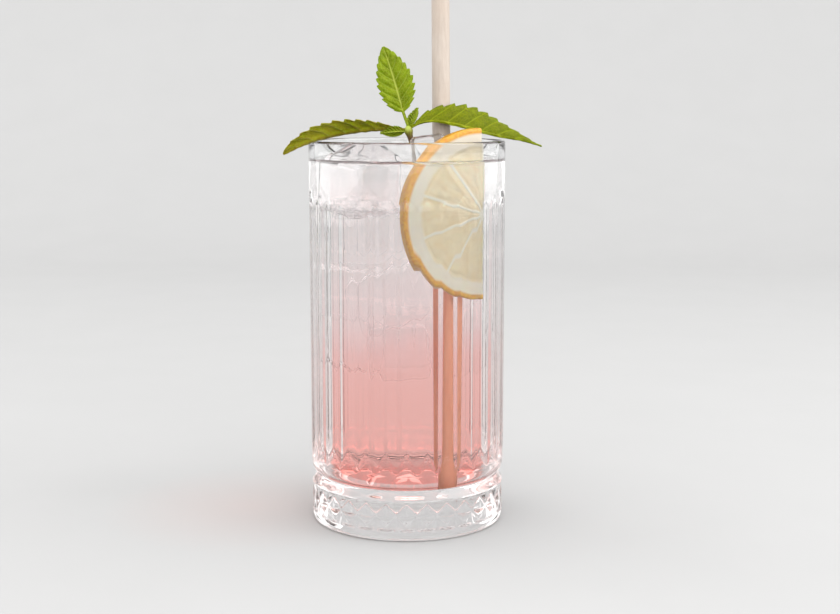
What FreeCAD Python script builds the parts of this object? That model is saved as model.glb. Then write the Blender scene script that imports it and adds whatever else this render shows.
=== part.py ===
"""Highball glass of pink lemonade with ice, half a lemon wheel, a paper straw and a mint sprig.

Millimetres. The origin is the middle of the glass's base, +Z is up and the front of the glass
faces -Y. Every driving dimension is a cell of the sheet "Sizes".
"""
import FreeCAD, Part
import Sketcher
import math
import os

Vector = FreeCAD.Vector
Rotation = FreeCAD.Rotation
Placement = FreeCAD.Placement

UP = Vector(0, 0, 1)

SIZES = [
    # glass
    ("glass_height", 147, "rim above the table"),
    ("body_radius", 37.5, "outside of the straight body"),
    ("rim_wall", 1.9, "thickness of the glass at the rim"),
    ("floor_wall", 3.3, "thickness of the wall at the floor"),
    ("floor_level", 18.5, "top of the thick glass floor"),
    ("floor_fillet", 5, "round between the floor and the wall inside"),
    ("rim_round", 0.8, "round on each edge of the rim"),
    ("body_foot_level", 24, "where the straight body begins to turn in"),
    ("body_foot_round", 3, "round at the lower edge of the body"),
    ("waist_inset", 2.8, "depth of the groove between body and foot"),
    ("waist_level", 19, "middle of that groove"),
    ("foot_inset", 0.2, "from the body's side in to the foot's side"),
    ("foot_height", 15.2, "top edge of the foot, where its shoulder begins"),
    ("base_inset", 1.7, "from the body's side in to the flat base"),
    ("base_bevel_height", 3.4, "height of the bevel under the foot"),
    # pressed pattern
    ("panel_count", 30, "flutes round the glass"),
    ("ridge_width", 1.3, "rib left between two flutes"),
    ("flute_depth", 0.55, "depth of a flute at its middle"),
    ("flute_foot_gap", 1, "from the straight body's lower end up to the flutes"),
    ("plain_band", 21, "from the rim down to the flutes' arches"),
    # drink
    ("drink_gap", 8, "from the rim down to the surface of the lemonade"),
    # straw
    ("straw_radius", 3.4, "outside"),
    ("straw_wall", 0.6, "rolled paper"),
    ("straw_length", 197, "end to end"),
    ("straw_azimuth", -57.5, "direction of the straw's lower end"),
    ("straw_lean", 5.6, "from upright, towards the back"),
    ("straw_side_lean", 0.4, "from upright, towards the left"),
    # lemon
    ("lemon_radius", 31.7, "half wheel"),
    ("lemon_thickness", 5.5, "half wheel"),
    ("lemon_edge_round", 0.9, "round on the rind's edges"),
    ("lemon_rise", 5, "top of the wheel above the rim"),
    ("lemon_azimuth", -37.2, "direction of the cut edge"),
    # fits
    ("seat_clearance", 0.3, "between the glass and what stands or leans in it"),
    ("stem_clearance", 0.1, "between the mint stem and the drink"),
    # ice
    ("ice_size", 22, "edge of a cube"),
    ("ice_round", 3, "round on a cube's edges"),
    ("ice_wall_gap", 4, "from a cube's outer face to the wall at the surface"),
    ("ice_edge_azimuth", -112.8, "direction of the first cube's side next to the mint stem"),
    ("ice_spacing", 4.7, "turn that keeps the two cubes' inner corners apart"),
    ("shard_length", 13, "broken piece, along the lemon"),
    ("shard_thickness", 6, "broken piece"),
    ("shard_height", 20, "broken piece"),
    ("shard_round", 1.8, "round on the broken piece's edges"),
    ("shard_set_back", 17, "from the lemon's cut edge to the middle of the broken piece"),
    ("shard_float", 0.5, "middle of the broken piece above the surface of the drink"),
    ("shard_tilt", 6, "turn of the broken piece in the lemon's plane"),
    # mint
    ("sprig_rise", 4.2, "node where the leaves spring, above the rim"),
    ("sprig_set_left", 12.3, "from the straw's axis to the left, to the node"),
    ("sprig_straw_gap", 5.2, "from the straw's front forward to the node"),
    ("stem_dip", 2, "lower end of the stem under the surface of the drink"),
    ("stem_run_right", 4, "from the node to the stem's lower end"),
    ("stem_run_back", 1.8, "from the node to the stem's lower end"),
    ("stem_radius", 1, "mint stem"),
    ("leaf_thickness", 0.5, "mint leaf"),
    ("upright_leaf_length", 30.8, "with its stalk"),
    ("upright_leaf_width", 14.8, "widest"),
    ("left_leaf_overhang", 9.4, "its length beyond the glass's side"),
    ("left_leaf_width", 19, "widest"),
    ("right_leaf_overhang", 17.1, "its length beyond the glass's side"),
    ("right_leaf_width", 20.5, "widest, if both halves were alike"),
    ("young_leaf_length", 10.5, "small leaves at the node"),
    ("young_leaf_width", 4.6, "small leaves at the node"),
]

doc = FreeCAD.newDocument("pink_lemonade")
sheet = doc.addObject("Spreadsheet::Sheet", "Sizes")
for row, (alias, value, note) in enumerate(SIZES, start=1):
    sheet.set("A%d" % row, note)
    sheet.set("B%d" % row, str(value))
    sheet.setAlias("B%d" % row, alias)
doc.recompute()


def size(alias):
    """The value of one cell."""
    return float(getattr(sheet, alias))


def bore_radius(level):
    """Inside radius of the glass at a height above its floor's fillet."""
    rise = (level - size("floor_level")) / (size("glass_height") - size("floor_level"))
    return size("body_radius") - size("floor_wall") + (size("floor_wall") - size("rim_wall")) * rise


def drink_level():
    return size("glass_height") - size("drink_gap")


RIM_BORE = "(Sizes.body_radius - Sizes.rim_wall)"
FLOOR_BORE = "(Sizes.body_radius - Sizes.floor_wall)"
DRINK_LEVEL = "(Sizes.glass_height - Sizes.drink_gap)"
DRINK_RADIUS = (
    "({floor} + (Sizes.floor_wall - Sizes.rim_wall)"
    " * ({level} - Sizes.floor_level) / (Sizes.glass_height - Sizes.floor_level))"
).format(floor=FLOOR_BORE, level=DRINK_LEVEL)


# ---------------------------------------------------------------- sketch and body helpers
def new_body(name):
    return doc.addObject("PartDesign::Body", name)


def origin_feature(body, role):
    return next(item for item in body.Origin.OriginFeatures if item.Role == role)


def new_sketch(body, role, name):
    sketch = body.newObject("Sketcher::SketchObject", name)
    sketch.AttachmentSupport = [(origin_feature(body, role), "")]
    sketch.MapMode = "FlatFace"
    return sketch


def bind(sketch, kind, arguments, formula):
    """Adds one driving constraint and ties it to a formula of the sheet."""
    value = float(sketch.evalExpression(formula))
    index = sketch.addConstraint(Sketcher.Constraint(kind, *arguments, value))
    sketch.setExpression("Constraints[%d]" % index, formula)
    return index


def draw_outline(sketch, corners):
    """A closed outline of straight edges; each corner is a pair of formulas."""
    places = []
    for across, up in corners:
        places.append(Vector(float(sketch.evalExpression(across)), float(sketch.evalExpression(up)), 0))
    for start, end in zip(places, places[1:] + places[:1]):
        sketch.addGeometry(Part.LineSegment(start, end), False)
    count = len(corners)
    for index in range(count):
        sketch.addConstraint(Sketcher.Constraint("Coincident", index, 2, (index + 1) % count, 1))
    for index, (across, up) in enumerate(corners):
        for kind, formula in (("DistanceX", across), ("DistanceY", up)):
            bind(sketch, kind, (-1, 1, index, 1), formula)


def revolve(body, sketch, name):
    feature = body.newObject("PartDesign::Revolution", name)
    feature.Profile = sketch
    feature.ReferenceAxis = (sketch, ["V_Axis"])
    feature.Angle = 360
    return feature


NEAR = 0.01


def circles_at(feature, level, radius):
    """Names of the circular edges of a feature at one height and radius."""
    found = []
    for index, edge in enumerate(feature.Shape.Edges, start=1):
        curve = edge.Curve
        if not isinstance(curve, Part.Circle):
            continue
        if abs(curve.Radius - radius) < NEAR and abs(curve.Center.z - level) < NEAR:
            found.append("Edge%d" % index)
    return found


def round_edges(body, base, name, edges, formula):
    fillet = body.newObject("PartDesign::Fillet", name)
    fillet.Base = (base, edges)
    fillet.setExpression("Radius", formula)
    doc.recompute()
    return fillet


# ---------------------------------------------------------------- glass
FLUTE_HALF_ANGLE = "(180 deg / Sizes.panel_count - asin(Sizes.ridge_width / 2 / Sizes.body_radius))"
FLUTE_CHORD = "(Sizes.body_radius * sin({a}))".format(a=FLUTE_HALF_ANGLE)
FLUTE_RISE = "(Sizes.flute_depth - Sizes.body_radius * (1 - cos({a})))".format(a=FLUTE_HALF_ANGLE)
FLUTE_RADIUS = "(({c} ^ 2 + {r} ^ 2) / (2 * {r}))".format(c=FLUTE_CHORD, r=FLUTE_RISE)
ARCH_HEIGHT = "sqrt(2 * {r} * Sizes.flute_depth - Sizes.flute_depth ^ 2)".format(r=FLUTE_RADIUS)
FLUTE_AXIS = "-(Sizes.body_radius + %s - Sizes.flute_depth)" % FLUTE_RADIUS
FLUTE_BOTTOM = "(Sizes.body_foot_level + Sizes.flute_foot_gap)"
ARCH_LEVEL = "(Sizes.glass_height - Sizes.plain_band - %s)" % ARCH_HEIGHT


def turned_glass(body):
    """The plain glass with its rounded rim, floor and lower body."""
    sketch = new_sketch(body, "XZ_Plane", "glass_section")
    draw_outline(sketch, [
        ("0", "0"),
        ("Sizes.body_radius - Sizes.base_inset", "0"),
        ("Sizes.body_radius - Sizes.foot_inset", "Sizes.base_bevel_height"),
        ("Sizes.body_radius - Sizes.foot_inset", "Sizes.foot_height"),
        ("Sizes.body_radius - Sizes.waist_inset", "Sizes.waist_level"),
        ("Sizes.body_radius", "Sizes.body_foot_level"),
        ("Sizes.body_radius", "Sizes.glass_height"),
        (RIM_BORE, "Sizes.glass_height"),
        (FLOOR_BORE, "Sizes.floor_level"),
        ("0", "Sizes.floor_level"),
    ])
    blank = revolve(body, sketch, "turned_glass")
    doc.recompute()
    floor = circles_at(blank, size("floor_level"), size("body_radius") - size("floor_wall"))
    inside = round_edges(body, blank, "floor_round", floor, "Sizes.floor_fillet")
    lower = circles_at(inside, size("body_foot_level"), size("body_radius"))
    lower_round = round_edges(body, inside, "body_foot_round", lower, "Sizes.body_foot_round")
    rim = circles_at(lower_round, size("glass_height"), size("body_radius"))
    rim += circles_at(lower_round, size("glass_height"), size("body_radius") - size("rim_wall"))
    return round_edges(body, lower_round, "rim_round", rim, "Sizes.rim_round")


def flute_cutters(body):
    """One arched flute, facing the front: a cylinder with a ball on top."""
    shaft = body.newObject("PartDesign::SubtractiveCylinder", "flute_shaft")
    shaft.setExpression("Radius", FLUTE_RADIUS)
    shaft.setExpression("Height", ARCH_LEVEL + " - " + FLUTE_BOTTOM)
    arch = body.newObject("PartDesign::SubtractiveSphere", "flute_arch")
    arch.setExpression("Radius", FLUTE_RADIUS)
    for cutter, level in ((shaft, FLUTE_BOTTOM), (arch, ARCH_LEVEL)):
        cutter.setExpression(".Placement.Base.y", FLUTE_AXIS)
        cutter.setExpression(".Placement.Base.z", level)
    doc.recompute()
    return [shaft, arch]


def make_glass():
    body = new_body("glass")
    turned_glass(body)
    cutters = flute_cutters(body)
    pattern = body.newObject("PartDesign::PolarPattern", "flutes")
    pattern.Originals = cutters
    pattern.Axis = (origin_feature(body, "Z_Axis"), [""])
    pattern.Angle = 360
    pattern.setExpression("Occurrences", "Sizes.panel_count")
    body.Tip = pattern
    doc.recompute()
    return body


# ---------------------------------------------------------------- straw
def on_azimuth(azimuth, radius, level):
    angle = math.radians(azimuth)
    return Vector(radius * math.cos(angle), radius * math.sin(angle), level)


def straw_placement():
    """Stands where the flat floor ends, on the edge of its lower end, leaning back and a little left."""
    lean = size("straw_lean")
    lift = size("straw_radius") * math.sin(math.radians(lean)) + size("seat_clearance")
    reach = size("body_radius") - size("floor_wall") - size("floor_fillet") - size("straw_radius")
    foot = on_azimuth(size("straw_azimuth"), reach, size("floor_level") + lift)
    turn = Rotation(Vector(0, 1, 0), -size("straw_side_lean")) * Rotation(Vector(1, 0, 0), -lean)
    return Placement(foot, turn)


def make_straw():
    body = new_body("straw")
    sketch = new_sketch(body, "XY_Plane", "straw_section")
    for formula in ("Sizes.straw_radius", "Sizes.straw_radius - Sizes.straw_wall"):
        radius = float(sketch.evalExpression(formula))
        circle = sketch.addGeometry(Part.Circle(Vector(), UP, radius), False)
        sketch.addConstraint(Sketcher.Constraint("Coincident", circle, 3, -1, 1))
        bind(sketch, "Radius", (circle,), formula)
    pad = body.newObject("PartDesign::Pad", "straw_tube")
    pad.Profile = sketch
    pad.setExpression("Length", "Sizes.straw_length")
    body.Placement = straw_placement()
    return body


# ---------------------------------------------------------------- lemon
def lemon_level():
    """Height of the wheel's centre."""
    return size("glass_height") + size("lemon_rise") - size("lemon_radius")


def lemon_placement():
    """Half wheel standing as a chord across the bore, its cut edge upright on the right."""
    level = lemon_level()
    reach = bore_radius(level - size("lemon_radius")) - size("seat_clearance")
    half_turn = math.degrees(math.asin(size("lemon_radius") / 2 / reach))
    right = on_azimuth(size("lemon_azimuth"), reach, level)
    left = on_azimuth(size("lemon_azimuth") - 2 * half_turn, reach, level)
    across = (right - left).normalize()
    face = across.cross(UP)
    return Placement(right - face * size("lemon_thickness"), Rotation(across, UP, face, "XYZ"))


def make_lemon_slice():
    body = new_body("lemon_slice")
    sketch = new_sketch(body, "XY_Plane", "half_wheel")
    radius = size("lemon_radius")
    quarter = math.pi / 2
    rim = Part.Circle(Vector(), UP, radius)
    rind = sketch.addGeometry(Part.ArcOfCircle(rim, quarter, 3 * quarter), False)
    cut = sketch.addGeometry(Part.LineSegment(Vector(0, -radius, 0), Vector(0, radius, 0)), False)
    sketch.addConstraint(Sketcher.Constraint("Coincident", rind, 3, -1, 1))
    sketch.addConstraint(Sketcher.Constraint("Coincident", rind, 1, cut, 2))
    sketch.addConstraint(Sketcher.Constraint("Coincident", rind, 2, cut, 1))
    sketch.addConstraint(Sketcher.Constraint("PointOnObject", cut, 1, -2))
    bind(sketch, "Radius", (rind,), "Sizes.lemon_radius")
    pad = body.newObject("PartDesign::Pad", "slice_thickness")
    pad.Profile = sketch
    pad.setExpression("Length", "Sizes.lemon_thickness")
    doc.recompute()
    edges = circles_at(pad, 0, radius) + circles_at(pad, size("lemon_thickness"), radius)
    round_edges(body, pad, "rind_round", edges, "Sizes.lemon_edge_round")
    body.Placement = lemon_placement()
    return body


# ---------------------------------------------------------------- ice
def ice_block(name, edges, rounding, centre, turn):
    """A block with every edge rounded, turned about its own centre."""
    body = new_body(name)
    box = body.newObject("PartDesign::AdditiveBox", name + "_block")
    for side, axis, formula in zip(("Length", "Width", "Height"), "xyz", edges):
        box.setExpression(side, formula)
        box.setExpression(".Placement.Base." + axis, "-{f} / 2".format(f=formula))
    doc.recompute()
    names = ["Edge%d" % index for index in range(1, len(box.Shape.Edges) + 1)]
    round_edges(body, box, name + "_round", names, rounding)
    body.Placement = Placement(centre, turn)
    return body


def ice_reach():
    """From the glass's axis to the middle of a floating cube."""
    return bore_radius(drink_level()) - size("ice_wall_gap") - size("ice_size") / 2


def ice_azimuth():
    """Direction of the first cube's middle."""
    return size("ice_edge_azimuth") - math.degrees(math.atan2(size("ice_size") / 2, ice_reach()))


def ice_step():
    """Angle between the two cubes at which their inner corners stand clear of each other."""
    half = size("ice_size") / 2
    return 2 * math.degrees(math.atan2(half, ice_reach() - half)) + size("ice_spacing")


# name, steps round from the first cube, middle below the surface as a share of the edge, turns about
# the cube's own X and Y, and its turn about Z from the direction that it lies in
ICE_CUBES = [
    ("ice_cube_left", 0, 0.336, 9, -8, 182),
    ("ice_cube_back", 1, 0.436, -7, 10, -86),
]


def make_ice_cubes():
    cubes = []
    for name, steps, sunk, about_x, about_y, about_z in ICE_CUBES:
        azimuth = ice_azimuth() - steps * ice_step()
        centre = on_azimuth(azimuth, ice_reach(), drink_level() - sunk * size("ice_size"))
        turn = Rotation(UP, azimuth + about_z)
        turn = turn * Rotation(Vector(0, 1, 0), about_y) * Rotation(Vector(1, 0, 0), about_x)
        cubes.append(ice_block(name, ["Sizes.ice_size"] * 3, "Sizes.ice_round", centre, turn))
    return cubes


def make_ice_shard():
    """The broken piece caught behind the lemon slice."""
    slice_frame = lemon_placement()
    depth = -size("seat_clearance") - size("shard_thickness") / 2
    rise = drink_level() + size("shard_float") - lemon_level()
    turn = slice_frame.Rotation * Rotation(UP, size("shard_tilt"))
    edges = ["Sizes.shard_length", "Sizes.shard_height", "Sizes.shard_thickness"]
    centre = slice_frame.multVec(Vector(-size("shard_set_back"), rise, depth))
    return ice_block("ice_shard", edges, "Sizes.shard_round", centre, turn)


# ---------------------------------------------------------------- mint
STALK_SHARE = 0.55    # a leaf stalk's radius, of the stem's
LEAF_ROWS = 30
LEAF_TEETH = 10
TOOTH_DEPTH = 0.12    # of the half width
STEM_SIDES = 10

# one row per leaf: its base from the node, its kind in the sizes, headings at base and tip, pitches
# above the level at even steps from base to tip, rolls at base and tip, folds of the left and right
# halves, the left half's share of the width, the stalk's share of the length, and the two exponents
# that move the widest place along and fill the outline out
LEAVES = [
    ((0.2, 0, 0.8), "upright_leaf", (185, 185), (68, 75, 73, 69), (-84, -84), (14, 14), 1, 0.2, 0.78, 0.7),
    ((0, 0, 0), "left_leaf", (188, 188), (7, -6, -14, -31), (-4, 6), (14, 38), 1, 0.1, 1.15, 0.62),
    ((0, 0, 0), "right_leaf", (7, 22), (38, -10, -17, -9, -19), (62, 44), (42, 8), 0.28, 0.03, 0.86, 1.3),
    ((-0.3, 0, -0.4), "young_leaf", (200, 200), (0, -4, -6), (80, 80), (15, 15), 1, 0.1, 0.8, 0.8),
    ((0, 0, 0), "young_leaf", (60, 60), (60, 48, 40), (0, 0), (15, 15), 1, 0.1, 0.8, 0.8),
]


def sprig_node():
    """Where the leaves spring, in front of the straw and above the rim."""
    level = size("glass_height") + size("sprig_rise")
    straw = straw_placement()
    run = (level - straw.Base.z) / straw.Rotation.multVec(UP).z
    axis = straw.multVec(UP * run)
    forward = size("straw_radius") + size("sprig_straw_gap")
    return Vector(axis.x - size("sprig_set_left"), axis.y - forward, level)


def leaf_lengths():
    """Lengths with the stalks; the two long leaves reach over the glass's side."""
    return {
        "upright_leaf": size("upright_leaf_length"),
        "left_leaf": size("body_radius") + sprig_node().x + size("left_leaf_overhang"),
        "right_leaf": size("body_radius") - sprig_node().x + size("right_leaf_overhang"),
        "young_leaf": size("young_leaf_length"),
    }


def stem_end():
    node = sprig_node()
    level = drink_level() - size("stem_dip")
    return Vector(node.x + size("stem_run_right"), node.y + size("stem_run_back"), level)


def skinned(rings):
    """A closed solid of flat facets through rings that have the same number of points."""
    count = len(rings[0])
    points = [point for ring in rings for point in ring]
    facets = []
    for row in range(len(rings) - 1):
        for index in range(count):
            a = row * count + index
            b = row * count + (index + 1) % count
            facets += [(a, b, b + count), (a, b + count, a + count)]
    last = (len(rings) - 1) * count
    for index in range(count // 2 - 1):
        a, b, c, d = (index, index + 1, count - 2 - index, count - 1 - index)
        facets += [(a, c, b), (a, d, c)]
        facets += [(last + a, last + b, last + c), (last + a, last + c, last + d)]
    shape = Part.Shape()
    shape.makeShapeFromMesh((points, facets), 0.001)
    solid = Part.makeSolid(Part.Shell(shape.Faces))
    if solid.Volume < 0:
        solid.reverse()
    return solid


def between(values, position):
    """Value at a position from 0 to 1 along a list of values that stand at even steps."""
    steps = len(values) - 1
    step = min(int(position * steps), steps - 1)
    share = position * steps - step
    return values[step] * (1 - share) + values[step + 1] * share


def leaf_half_width(position, stalk, peak, fullness):
    """Half width of a leaf, as a share of its widest, along its length from 0 to 1."""
    along = (position - stalk) / (1 - stalk)
    if along <= 0 or along >= 1:
        return 0.0
    return math.sin(math.pi * along ** peak) ** fullness


def leaf(base, kind, headings, pitches, rolls, folds, left_share, stalk, peak, fullness):
    """A toothed leaf on an arching midrib, its two halves folded at the midrib."""
    length = leaf_lengths()[kind]
    widest = size(kind + "_width") / 2
    stalk_radius = size("stem_radius") * STALK_SHARE
    place = sprig_node() + Vector(*base)
    rings = []
    for row in range(LEAF_ROWS + 1):
        position = row / LEAF_ROWS
        heading = between(headings, position)
        pitch = math.radians(between(pitches, position))
        along = on_azimuth(heading, math.cos(pitch), math.sin(pitch))
        if row:
            place = place + along * (length / LEAF_ROWS)
        side = Rotation(along, between(rolls, position)).multVec(on_azimuth(heading + 90, 1, 0))
        normal = along.cross(side)
        tooth = 1 - TOOTH_DEPTH * (1 - (position * LEAF_TEETH) % 1)
        half = widest * tooth * leaf_half_width(position, stalk, peak, fullness)
        upper = []
        lower = []
        for share in (-1, -0.5, 0, 0.5, 1):
            fold = math.radians(folds[0] if share < 0 else folds[1])
            reach = max(half * (left_share if share < 0 else 1), stalk_radius) * share
            middle = place + side * (reach * math.cos(fold)) + normal * (abs(reach) * math.sin(fold))
            swell = stalk_radius / 2 * (1 - position) * (1 - abs(share))
            skin = normal * (size("leaf_thickness") / 2 + swell)
            upper.append(middle + skin)
            lower.insert(0, middle - skin)
        rings.append(upper + lower)
    return skinned(rings)


def stem():
    """The stem, thickened at the node where the leaves spring."""
    node = sprig_node()
    run = stem_end() - node
    direction = Vector(run).normalize()
    across = direction.cross(UP).normalize()
    behind = direction.cross(across)
    swelling = [(-1.6, 0.5), (-0.8, 1.2), (0.4, 1.5), (2.0, 1.25), (4.0, 1.0), (run.Length, 1.0)]
    rings = []
    for along, share in swelling:
        ring = []
        for side in range(STEM_SIDES):
            angle = 2 * math.pi * side / STEM_SIDES
            spoke = across * math.cos(angle) + behind * math.sin(angle)
            ring.append(node + direction * along + spoke * (size("stem_radius") * share))
        rings.append(ring)
    return skinned(rings)


def make_mint_sprig():
    """Stem and leaves grown together as one piece."""
    feature = doc.addObject("Part::Feature", "mint_sprig")
    feature.Shape = stem().fuse([leaf(*row) for row in LEAVES])
    return feature


def stem_well():
    """The round space that the stem takes up in the drink."""
    well = doc.addObject("Part::Cylinder", "stem_well")
    run = sprig_node() - stem_end()
    well.setExpression("Radius", "Sizes.stem_radius + Sizes.stem_clearance")
    well.Height = run.Length
    well.Placement = Placement(stem_end(), Rotation(UP, run))
    return well


# ---------------------------------------------------------------- drink
def straw_well():
    """The round space that the straw takes up in the drink."""
    well = doc.addObject("Part::Cylinder", "straw_well")
    well.setExpression("Radius", "Sizes.straw_radius")
    well.setExpression("Height", "Sizes.straw_length")
    well.Placement = straw_placement()
    return well


def make_lemonade(solids_in_drink):
    """The drink fills the bore up to its level, round all that stands or floats in it."""
    body = new_body("drink_fill")
    sketch = new_sketch(body, "XZ_Plane", "drink_section")
    draw_outline(sketch, [
        ("0", "Sizes.floor_level"),
        (FLOOR_BORE, "Sizes.floor_level"),
        (DRINK_RADIUS, DRINK_LEVEL),
        ("0", DRINK_LEVEL),
    ])
    fill = revolve(body, sketch, "turned_drink")
    doc.recompute()
    floor = circles_at(fill, size("floor_level"), size("body_radius") - size("floor_wall"))
    round_edges(body, fill, "drink_floor_round", floor, "Sizes.floor_fillet")
    displaced = doc.addObject("Part::MultiFuse", "displaced")
    displaced.Shapes = solids_in_drink
    drink = doc.addObject("Part::Cut", "lemonade")
    drink.Base = body
    drink.Tool = displaced
    return drink


# ---------------------------------------------------------------- all pieces
glass = make_glass()
straw = make_straw()
lemon_slice = make_lemon_slice()
ice = make_ice_cubes() + [make_ice_shard()]
mint_sprig = make_mint_sprig()
lemonade = make_lemonade([straw_well(), lemon_slice, stem_well()] + ice)
pieces = [glass, lemonade, straw, lemon_slice, mint_sprig] + ice
doc.recompute()

for item in doc.Objects:
    if "Invalid" in item.State or "Error" in item.State:
        raise RuntimeError("%s did not compute: %s" % (item.Label, item.State))
for piece in pieces:
    if piece.Shape.isNull() or not piece.Shape.isValid():
        raise RuntimeError("%s has no valid shape" % piece.Label)

os.makedirs("parts", exist_ok=True)
for piece in pieces:
    piece.Shape.exportStep(os.path.join("parts", piece.Label + ".step"))
    print("%-16s solids %d  volume %.1f mm3" % (piece.Label, len(piece.Shape.Solids), piece.Shape.Volume))
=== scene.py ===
"""The looks of a highball glass of pink lemonade with ice, lemon, straw and mint.

Lengths in the text are millimetres and go through MM or mm() into Blender's metres.
"""
import math
import random

import bmesh
import bpy
from mathutils import Matrix, Quaternion, Vector, noise


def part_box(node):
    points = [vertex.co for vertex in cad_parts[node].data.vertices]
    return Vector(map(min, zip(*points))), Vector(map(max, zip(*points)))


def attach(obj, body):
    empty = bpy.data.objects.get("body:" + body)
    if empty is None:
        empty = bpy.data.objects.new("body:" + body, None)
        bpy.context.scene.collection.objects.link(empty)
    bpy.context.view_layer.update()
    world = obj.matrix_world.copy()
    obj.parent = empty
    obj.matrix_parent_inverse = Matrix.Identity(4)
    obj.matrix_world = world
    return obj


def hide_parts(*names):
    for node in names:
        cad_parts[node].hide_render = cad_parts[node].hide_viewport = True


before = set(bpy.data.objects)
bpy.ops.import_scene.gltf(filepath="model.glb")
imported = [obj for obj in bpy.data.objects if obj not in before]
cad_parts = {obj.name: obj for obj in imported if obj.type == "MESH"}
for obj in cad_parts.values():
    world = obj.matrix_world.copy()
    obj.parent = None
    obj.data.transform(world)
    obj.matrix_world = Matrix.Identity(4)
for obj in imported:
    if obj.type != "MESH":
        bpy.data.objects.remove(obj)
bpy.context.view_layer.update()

MM = 0.001
UP = Vector((0, 0, 1))

# ---------------------------------------------------------------- sizes
GLASS_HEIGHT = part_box("glass")[1].z / MM
BODY_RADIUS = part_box("glass")[1].x / MM
RIM_BORE = BODY_RADIUS - 1.9       # less the wall at the rim
FLOOR_BORE = BODY_RADIUS - 3.3     # less the wall at the floor
FLOOR_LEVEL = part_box("lemonade")[0].z / MM
FLOOR_FILLET = 5.0
RIM_ROUND = 0.95
BODY_FOOT_LEVEL = 24.0
WAIST_RADIUS = BODY_RADIUS - 2.8
WAIST_LEVEL = 19.0
FOOT_RADIUS = BODY_RADIUS - 0.2
FOOT_HEIGHT = 15.2
BASE_RADIUS = BODY_RADIUS - 1.7
BASE_BEVEL = 3.4

PANELS = 30
FLUTE_DEPTH = 0.55
FLUTE_TOP = 126.0
FLUTE_CUTTER = 13.4
RIB_SHARE = 0.165
ZIGZAG_LOW = 24.6
ZIGZAG_HIGH = 31.0
ZIGZAG_EASE = 1.8
ZIGZAG_GROOVE = 0.08
DIAMOND_LOW = 4.6
DIAMOND_HIGH = 14.6
DIAMOND_DEPTH = 0.6

DRINK_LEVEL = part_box("lemonade")[1].z / MM
WALL_BITE = 0.1
MENISCUS = 1.3           # height of the drink's climb at the wall
MENISCUS_REACH = 1.1     # distance from the wall in which that climb falls off
ICE_LAP = 0.12           # how far surface ice laps into the drink
CORE_RADIUS = 22.5
CORE_FOOT = FLOOR_LEVEL + 1
CORE_TOP = DRINK_LEVEL - 3
LEVEL_DRIFT = 7.0        # how far the colour's levels wander up and down

STRAW_RADIUS = 3.4
STRAW_WALL = 0.6
STRAW_LENGTH = 197.0
STRAW_LEAN = 5.6
STRAW_SIDE_LEAN = 0.4
STRAW_FOOT_RADIUS = FLOOR_BORE - FLOOR_FILLET - STRAW_RADIUS
STRAW_FOOT_AZIMUTH = -57.5
STRAW_WINDING = 26.0      # length of one turn of the paper strip
END_ROUND = 0.12

LEMON_RADIUS = 31.7
LEMON_THICKNESS = 5.5
LEMON_LEVEL = GLASS_HEIGHT + 5 - LEMON_RADIUS   # its top stands 5 over the rim
LEMON_AZIMUTH = -37.2
SEAT_CLEARANCE = 0.3


def mm(x, y, z):
    return Vector((x, y, z)) * MM


def on_azimuth(azimuth, radius, level):
    angle = math.radians(azimuth)
    return Vector((radius * math.cos(angle), radius * math.sin(angle), level))


def bore_radius(level):
    rise = (level - FLOOR_LEVEL) / (GLASS_HEIGHT - FLOOR_LEVEL)
    return FLOOR_BORE + (RIM_BORE - FLOOR_BORE) * rise


def spread(low, high, count):
    """count + 1 values from low to high."""
    return [low + (high - low) * step / count for step in range(count + 1)]


def smooth_step(value):
    value = min(max(value, 0.0), 1.0)
    return value * value * (3 - 2 * value)


# ---------------------------------------------------------------- mesh helpers
def new_object(name, points, faces, smooth=True):
    """An object from points in millimetres."""
    mesh = bpy.data.meshes.new(name)
    mesh.from_pydata([point * MM for point in points], [], faces)
    if smooth:
        mesh.polygons.foreach_set("use_smooth", [True] * len(mesh.polygons))
    mesh.update()
    item = bpy.data.objects.new(name, mesh)
    bpy.context.scene.collection.objects.link(item)
    return item


def ring_faces(rows, columns, start=0):
    """Quads between closed rings of points."""
    faces = []
    for row in range(rows - 1):
        for column in range(columns):
            a = start + row * columns + column
            b = start + row * columns + (column + 1) % columns
            faces.append((a, b, b + columns, a + columns))
    return faces


def lathe(name, azimuths, rows):
    """A turned solid: rows of (radius at each azimuth, level), shut at both ends on the axis."""
    points = []
    for radii, levels in rows:
        for azimuth, radius, level in zip(azimuths, radii, levels):
            points.append(on_azimuth(azimuth, radius, level))
    count = len(azimuths)
    faces = ring_faces(len(rows), count)
    first = len(points)
    points.append(Vector((0, 0, rows[0][1][0])))
    points.append(Vector((0, 0, rows[-1][1][0])))
    last_ring = (len(rows) - 1) * count
    for column in range(count):
        after = (column + 1) % count
        faces.append((first, after, column))
        faces.append((first + 1, last_ring + column, last_ring + after))
    return new_object(name, points, faces)


def outward_normals(item):
    """Turns every face outwards."""
    work = bmesh.new()
    work.from_mesh(item.data)
    bmesh.ops.recalc_face_normals(work, faces=work.faces)
    work.to_mesh(item.data)
    work.free()


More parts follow.
